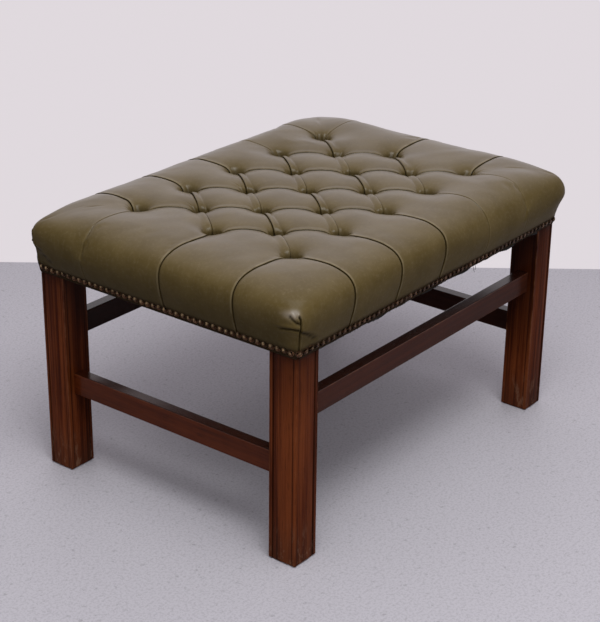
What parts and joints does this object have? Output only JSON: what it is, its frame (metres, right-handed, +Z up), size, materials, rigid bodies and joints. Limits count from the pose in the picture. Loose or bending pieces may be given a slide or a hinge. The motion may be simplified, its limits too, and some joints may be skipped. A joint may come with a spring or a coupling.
{
  "type": "tufted leather footstool",
  "caption": "Rectangular footstool with a deep-buttoned leather top, nailed edge, square moulded wooden legs and box stretchers.",
  "frame": {"origin": "centre of the footprint, on the floor", "axes": "+X along the long side, +Y towards the back long side, +Z up"},
  "size_m": [0.671, 0.496, 0.4083],
  "materials": {
    "mahogany": "dark red-brown polish",
    "frame_wood": "plain hardwood",
    "dowel_wood": "plain hardwood",
    "plywood": "plywood",
    "steel": "bright steel",
    "antique_brass": "antique brass",
    "green_leather": "semi-gloss olive leather",
    "foam": "cut foam",
    "twine": "waxed cord",
    "black_cloth": "woven lining"
  },
  "bodies": {
    "root": {"button_twine": "twine", "buttons": "green_leather", "corner_block_back_left": "frame_wood", "corner_block_back_right": "frame_wood", "corner_block_front_left": "frame_wood", "corner_block_front_right": "frame_wood", "corner_block_screws": "steel", "dust_cover": "black_cloth", "dust_cover_staples": "steel", "foam_pad": "foam", "leather_cover": "green_leather", "leg_back_left": "mahogany", "leg_back_right": "mahogany", "leg_front_left": "mahogany", "leg_front_right": "mahogany", "nails_back": "antique_brass", "nails_front": "antique_brass", "nails_left": "antique_brass", "nails_right": "antique_brass", "rail_back": "frame_wood", "rail_dowels": "dowel_wood", "rail_front": "frame_wood", "rail_left": "frame_wood", "rail_right": "frame_wood", "seat_board": "plywood", "seat_board_screws": "steel", "stretcher_back": "mahogany", "stretcher_front": "mahogany", "stretcher_left": "mahogany", "stretcher_right": "mahogany", "twine_toggles": "dowel_wood"}
  },
  "joints": []
}
